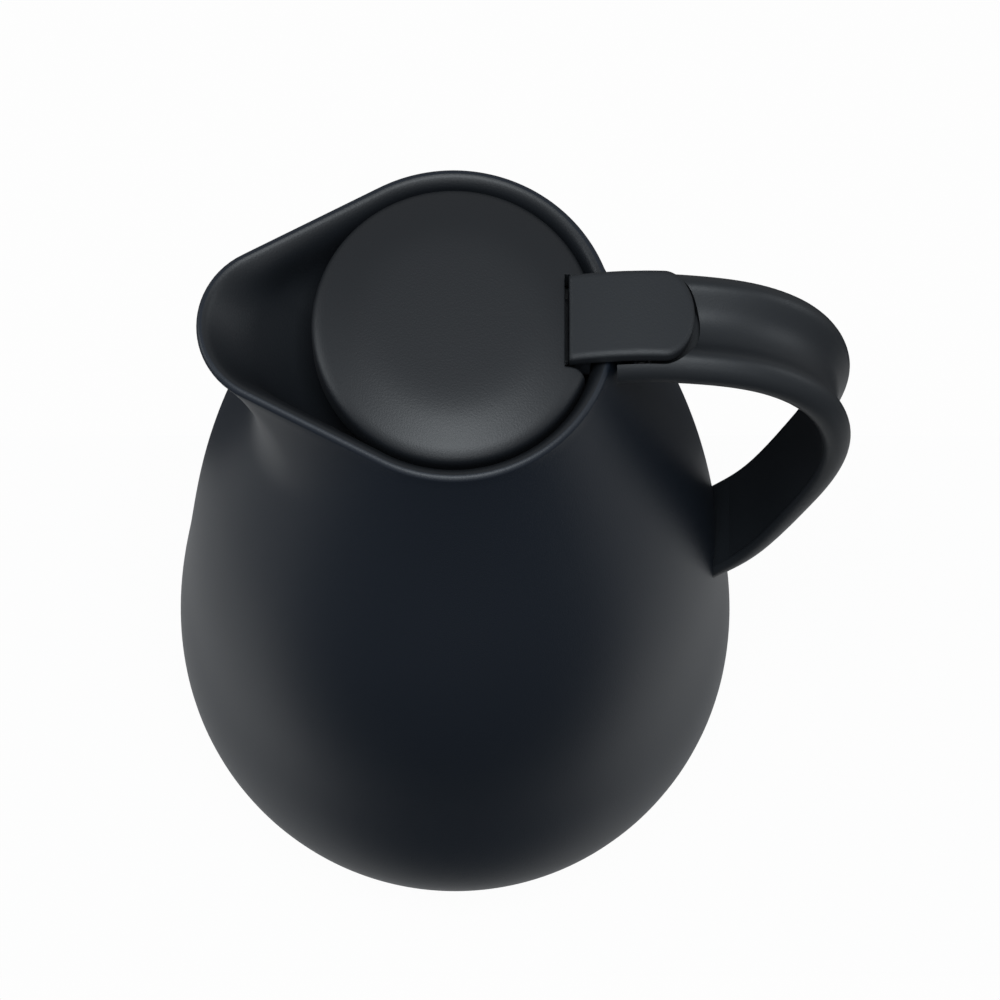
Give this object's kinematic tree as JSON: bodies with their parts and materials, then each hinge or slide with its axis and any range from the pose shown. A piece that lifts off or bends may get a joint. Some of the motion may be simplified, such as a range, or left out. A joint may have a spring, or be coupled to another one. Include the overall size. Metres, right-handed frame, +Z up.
{
  "type": "thermal carafe",
  "caption": "Egg-shaped thermal carafe with a drawn-out pouring spout, strap handle, glass flask and a sunk lid that a thumb lever tips open.",
  "frame": {"origin": "on the table plane, under the middle of the length and width of the whole carafe", "axes": "+Z up along the body axis, +X towards the handle, the spout points to -X"},
  "size_m": [0.174, 0.156, 0.2024],
  "materials": {
    "shell": "satin",
    "collar": "satin",
    "lid": "satin",
    "stopper": "satin",
    "lever": "satin",
    "handle": "satin",
    "liner": "satin",
    "base": "satin",
    "foot": "matte",
    "silicone": "matte",
    "glass": "silvered",
    "pads": "matte",
    "foam": "matte",
    "steel": "satin"
  },
  "bodies": {
    "body": {"outer_shell": "shell", "pour_collar": "collar", "mouth_gasket": "silicone", "flask_inner": "glass", "flask_outer": "glass", "flask_spacers": "pads", "flask_cushion": "silicone", "base_cap": "base", "base_seal": "silicone", "foot_ring": "foot", "handle_shell": "handle", "handle_liner": "liner", "handle_screws": "steel"},
    "lid": {"lid_cover": "lid", "lid_base": "stopper", "lid_gasket": "silicone", "lid_insulation": "foam", "thumb_lever": "lever", "lever_screws": "steel", "hinge_pin": "steel"}
  },
  "joints": [
    {"name": "lid_hinge", "type": "hinge", "parent": "body", "child": "lid", "pos_m": [0.03409, 0, 0.196], "axis": [0, 1, 0], "range_deg": [0, 11]}
  ]
}
